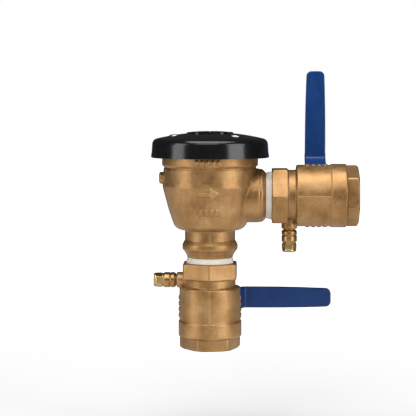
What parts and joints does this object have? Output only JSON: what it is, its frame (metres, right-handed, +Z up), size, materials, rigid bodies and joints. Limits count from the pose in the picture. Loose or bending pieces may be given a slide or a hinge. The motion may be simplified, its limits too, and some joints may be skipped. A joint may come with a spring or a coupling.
{
  "type": "backflow preventer",
  "caption": "Pressure vacuum breaker with a bronze bowl body under a black domed canopy, a ball valve on each port with a blue lever, and capped test cocks.",
  "frame": {"origin": "centre of the inlet port's end face, at the bottom of the lower ball valve", "axes": "+Z up the inlet axis, +X along the outlet axis towards the outlet port, levers on the +Y side"},
  "size_m": [0.1612, 0.1112, 0.2178],
  "materials": {
    "cast_bronze": "satin",
    "machined_brass": "satin",
    "cock_brass": "satin",
    "bright_brass": "polished",
    "chromed_brass": "polished",
    "plated_steel": "satin",
    "stainless_steel": "polished",
    "black_plastic": "gloss",
    "grey_plastic": "satin",
    "blue_vinyl": "satin",
    "thread_tape": "matte",
    "white_ptfe": "satin",
    "black_rubber": "matte"
  },
  "bodies": {
    "body": {"air_spring": "stainless_steel", "body_casting": "cast_bronze", "bonnet": "machined_brass", "bonnet_o_ring": "black_rubber", "canopy": "black_plastic", "canopy_screws": "stainless_steel", "check_guide": "grey_plastic", "check_spring": "stainless_steel", "inlet_end_cap": "cast_bronze", "inlet_inner_seat": "white_ptfe", "inlet_outer_seat": "white_ptfe", "inlet_packing_nut": "machined_brass", "inlet_stem_packing": "white_ptfe", "inlet_test_cock": "cock_brass", "inlet_test_cock_cap": "bright_brass", "inlet_thread_tape": "thread_tape", "inlet_valve_body": "cast_bronze", "outlet_end_cap": "cast_bronze", "outlet_inner_seat": "white_ptfe", "outlet_outer_seat": "white_ptfe", "outlet_packing_nut": "machined_brass", "outlet_stem_packing": "white_ptfe", "outlet_test_cock": "cock_brass", "outlet_test_cock_cap": "bright_brass", "outlet_thread_tape": "thread_tape", "outlet_valve_body": "cast_bronze"},
    "inlet_handle": {"inlet_ball": "chromed_brass", "inlet_stem": "machined_brass", "inlet_lever": "plated_steel", "inlet_lever_grip": "blue_vinyl", "inlet_lever_washer": "plated_steel", "inlet_lever_nut": "plated_steel"},
    "outlet_handle": {"outlet_ball": "chromed_brass", "outlet_stem": "machined_brass", "outlet_lever": "plated_steel", "outlet_lever_grip": "blue_vinyl", "outlet_lever_washer": "plated_steel", "outlet_lever_nut": "plated_steel"},
    "inlet_cock_plug": {"inlet_test_cock_stem": "cock_brass"},
    "outlet_cock_plug": {"outlet_test_cock_stem": "cock_brass"},
    "air_float": {"air_poppet": "grey_plastic", "air_seal_disc": "black_rubber"},
    "check_float": {"check_poppet": "grey_plastic", "check_seal_disc": "black_rubber"}
  },
  "joints": [
    {"name": "inlet_lever_turn", "type": "hinge", "parent": "body", "child": "inlet_handle", "pos_m": [0, 0.036, 0.031], "axis": [0, 1, 0], "range_deg": [0, 90]},
    {"name": "outlet_lever_turn", "type": "hinge", "parent": "body", "child": "outlet_handle", "pos_m": [0.0844, 0.036, 0.12], "axis": [0, 1, 0], "range_deg": [0, 90]},
    {"name": "inlet_cock_turn", "type": "hinge", "parent": "body", "child": "inlet_cock_plug", "pos_m": [-0.0324, 0, 0.0534], "axis": [0, 1, 0], "range_deg": [0, 90]},
    {"name": "outlet_cock_turn", "type": "hinge", "parent": "body", "child": "outlet_cock_plug", "pos_m": [0.062, 0, 0.0876], "axis": [0, 1, 0], "range_deg": [0, 90]},
    {"name": "air_float_lift", "type": "slide", "parent": "body", "child": "air_float", "axis": [0, 0, 1], "range_m": [0, 0.0049], "stiffness_N_per_m": 60, "springref_m": -0.006, "deforming": ["air_spring"]},
    {"name": "check_lift", "type": "slide", "parent": "body", "child": "check_float", "axis": [0, 0, 1], "range_m": [0, 0.005], "stiffness_N_per_m": 300, "springref_m": -0.015, "deforming": ["check_spring"]}
  ]
}
